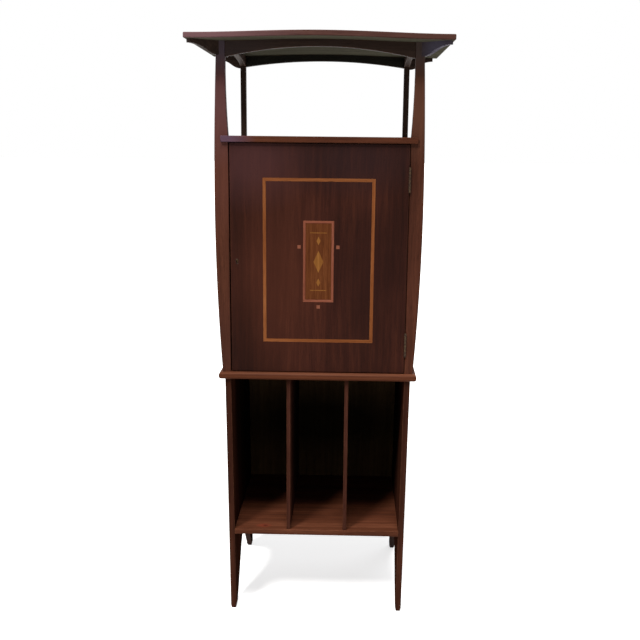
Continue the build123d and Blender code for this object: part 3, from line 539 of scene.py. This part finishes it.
strip_ring("band_strips", "inlay_band", BAND_WIDTH,
           wood("band_upright", SATIN, "Z", 41.0, **BAND_CUT),
           wood("band_level", SATIN, "X", 42.0, **BAND_CUT))
strip_ring("plaque_border_strips", "plaque_frame", BORDER_WIDTH,
           wood("border_upright", COPPER, "Z", 43.0, **BORDER_CUT),
           wood("border_level", COPPER, "X", 44.0, **BORDER_CUT),
           wood("line_wood", LINE, "Z", 49.0, fibres=300.0, bands=70.0), LINE_WIDTH)


def refinish(nodes, material):
    """Gives CAD nodes that keep their shape a better material."""
    for node in nodes:
        slots = NODES[node].data.materials
        slots.clear()
        slots.append(material)


refinish(["plaque_field"], wood("field_wood", FIELD, "Z", 45.0, fibres=420.0, bands=160.0, grime=0.12))
refinish(["plaque_lozenges", "plaque_lines"], wood("light_wood", LIGHT, "Z", 46.0, **SMALL_CUT))
refinish(["accent_squares"], wood("square_wood", SQUARE, "Z", 47.0, **SMALL_CUT))
refinish(["post_dowels"], wood("dowel_wood_grain", WOODS["dowel"], "Z", 48.0, fibres=300.0))

# Metal fittings

old_brass = metal("old_brass", (92, 72, 46), (48, 34, 26), rough=0.5, share=0.8, metallic=0.6)
plate_brass = metal("plate_brass", (150, 122, 104), (38, 22, 17), share=1.0, metallic=0.7)
lock_brass = metal("lock_brass", (176, 142, 86), (96, 72, 44), rough=0.36, share=0.6)
screw_brass = metal("screw_brass", (130, 104, 66), (62, 46, 34), rough=0.42, share=0.7)
refinish(["lower_hinge_post_leaf", "upper_hinge_post_leaf", "lower_hinge_door_leaf",
          "upper_hinge_door_leaf", "lower_hinge_pin", "upper_hinge_pin"], old_brass)
refinish(["escutcheon"], plate_brass)
refinish(["strike_plate", "lock_case", "lock_cap", "lock_bolt"], lock_brass)
refinish(["post_hinge_screws", "door_hinge_screws", "lock_screws", "back_screws"], screw_brass)


# Floor, lamps and world

FLOOR_HALF = 60.0
FLOOR_DARK, FLOOR_PALE = 0.84, 0.87
FLOOR_BOUNCE = (0.45, 0.45, 0.45, 1.0)
FLOOR_GLOW = 0.72
WORLD_LIGHT = 0.15
WORLD_SHOWN = 1.0
LAMP_DISTANCE = 6.0


def shown_white(tree, lit, shown):
    """A shader that is lit for the light it sends on, and shown where it is looked at."""
    path = tree.add("LightPath")
    seen = tree.math("MAXIMUM", path.outputs["Is Camera Ray"], path.outputs["Is Glossy Ray"])
    seen = tree.math("MAXIMUM", seen, path.outputs["Is Transmission Ray"])
    return tree.add("MixShader", {0: seen, 1: lit, 2: shown}).outputs[0]


floor_tree = Tree(bpy.data.materials.new("pale_floor"))
floor_spot = floor_tree.add("TexCoord").outputs["Object"]
floor_noise = floor_tree.noise(floor_spot, scale=3.0, detail=2.0).outputs[0]
floor_tone = floor_tree.spread(floor_noise, NOISE_LOW, NOISE_HIGH, FLOOR_DARK, FLOOR_PALE)
floor_diffuse = floor_tree.add("BsdfDiffuse", {"Color": floor_tone}).outputs[0]
floor_bounce = floor_tree.add("BsdfDiffuse", {"Color": FLOOR_BOUNCE}).outputs[0]
floor_glow = floor_tree.add("Emission", {"Color": WHITE, "Strength": FLOOR_GLOW}).outputs[0]
floor_sum = floor_tree.add("AddShader", {0: floor_diffuse, 1: floor_glow}).outputs[0]
floor_tree.add("OutputMaterial", {"Surface": shown_white(floor_tree, floor_bounce, floor_sum)})
floor_mesh = bpy.data.meshes.new("floor")
floor_mesh.from_pydata([(-FLOOR_HALF, -FLOOR_HALF, 0), (FLOOR_HALF, -FLOOR_HALF, 0),
                        (FLOOR_HALF, FLOOR_HALF, 0), (-FLOOR_HALF, FLOOR_HALF, 0)], [], [(0, 1, 2, 3)])
floor_mesh.materials.append(floor_tree.holder)
floor = placed("floor", floor_mesh)


def sun(name, azimuth, elevation, strength, spread, colour):
    """A far lamp. azimuth 0 is in front, and 90 is on the right."""
    lamp = bpy.data.lights.new(name, "SUN")
    lamp.energy = strength
    lamp.angle = math.radians(spread)
    lamp.color = colour
    a, e = math.radians(azimuth), math.radians(elevation)
    towards = Vector((math.sin(a) * math.cos(e), -math.cos(a) * math.cos(e), math.sin(e)))
    thing = placed(name, lamp)
    thing.rotation_mode = "QUATERNION"
    thing.rotation_quaternion = towards.to_track_quat("Z", "Y")
    thing.location = towards * LAMP_DISTANCE


sun("key", azimuth=-32, elevation=50, strength=2.5, spread=12, colour=(1.0, 0.98, 0.95))
sun("high_key", azimuth=5, elevation=69, strength=1.6, spread=16, colour=(1.0, 0.99, 0.97))
sun("rear_fill", azimuth=150, elevation=40, strength=0.5, spread=40, colour=(0.95, 0.97, 1.0))

world_tree = Tree(bpy.data.worlds.new("studio"))
world_dim = world_tree.add("Background", {"Color": WHITE, "Strength": WORLD_LIGHT}).outputs[0]
world_white = world_tree.add("Background", {"Color": WHITE, "Strength": WORLD_SHOWN}).outputs[0]
world_tree.add("OutputWorld", {"Surface": shown_white(world_tree, world_dim, world_white)})
bpy.context.scene.world = world_tree.holder

# Camera, at the photograph's place. Angles are in radians, and the centre is in pixels.

PHOTO_SIDE = 640
SENSOR = 36.0
FOCAL_PIXELS = 915.156
CENTRE_X, CENTRE_Y = 329.326, 349.390
CAMERA_SPOT = (0.08355, -2.58890, 1.31209)
PITCH, YAW, ROLL = 0.22286, -0.02174, 0.01062
FARTHEST_SEEN = 200.0

forward = Vector((math.cos(PITCH) * math.sin(YAW), math.cos(PITCH) * math.cos(YAW), -math.sin(PITCH)))
flat_right = Vector((math.cos(YAW), -math.sin(YAW), 0.0))
flat_up = Vector((math.sin(PITCH) * math.sin(YAW), math.sin(PITCH) * math.cos(YAW), math.cos(PITCH)))
right = math.cos(ROLL) * flat_right + math.sin(ROLL) * flat_up
up = math.cos(ROLL) * flat_up - math.sin(ROLL) * flat_right
lens = bpy.data.cameras.new("camera")
lens.sensor_width = SENSOR
lens.lens = FOCAL_PIXELS * SENSOR / PHOTO_SIDE
lens.shift_x = (PHOTO_SIDE / 2 - CENTRE_X) / PHOTO_SIDE
lens.shift_y = (CENTRE_Y - PHOTO_SIDE / 2) / PHOTO_SIDE
lens.clip_end = FARTHEST_SEEN
camera = placed("camera", lens)
pose = Matrix((right, up, -forward)).transposed().to_4x4()
pose.translation = CAMERA_SPOT
camera.matrix_world = pose
bpy.context.scene.camera = camera

bpy.context.scene.view_settings.view_transform = "Standard"
